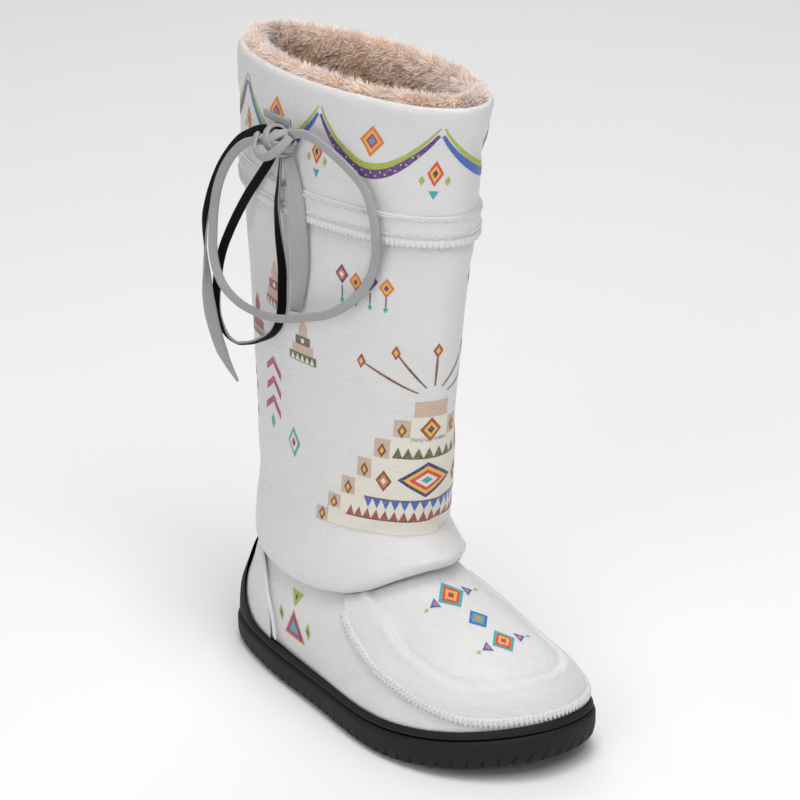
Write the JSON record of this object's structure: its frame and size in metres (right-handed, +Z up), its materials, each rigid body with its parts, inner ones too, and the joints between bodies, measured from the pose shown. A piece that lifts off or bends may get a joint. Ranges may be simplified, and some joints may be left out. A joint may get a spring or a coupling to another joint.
{
  "type": "mukluk boot",
  "caption": "Mid-calf mukluk boot with a shearling-lined leather shaft, moccasin vamp, side lace tied in a bow and a rubber cupsole.",
  "frame": {"origin": "on the floor, under the middle of the sole's length and width", "axes": "+X points to the toe, -Y to the lateral side with the lace, +Y to the medial side, +Z up along the shaft"},
  "size_m": [0.262, 0.1096, 0.3491],
  "materials": {
    "white_leather": "soft white pebbled leather, semi-matt, printed with coloured motifs",
    "outsole_rubber": "matt black rubber",
    "shearling": "curly beige shearling",
    "suede_thong": "flat grey suede thong with a black second face"
  },
  "bodies": {
    "root": {"outsole": "outsole_rubber", "midsole": "outsole_rubber", "insole": "shearling", "upper": "white_leather", "vamp": "white_leather", "heel_counter": "white_leather", "heel_piping_lateral": "white_leather", "heel_piping_medial": "white_leather", "shaft": "white_leather", "cuff": "white_leather", "cuff_band": "white_leather", "fur_lining": "shearling", "lace_bar": "suede_thong", "lace_knot": "suede_thong", "lace_loop_front": "suede_thong", "lace_loop_back": "suede_thong", "lace_end_long": "suede_thong", "lace_end_short": "suede_thong"}
  },
  "joints": []
}
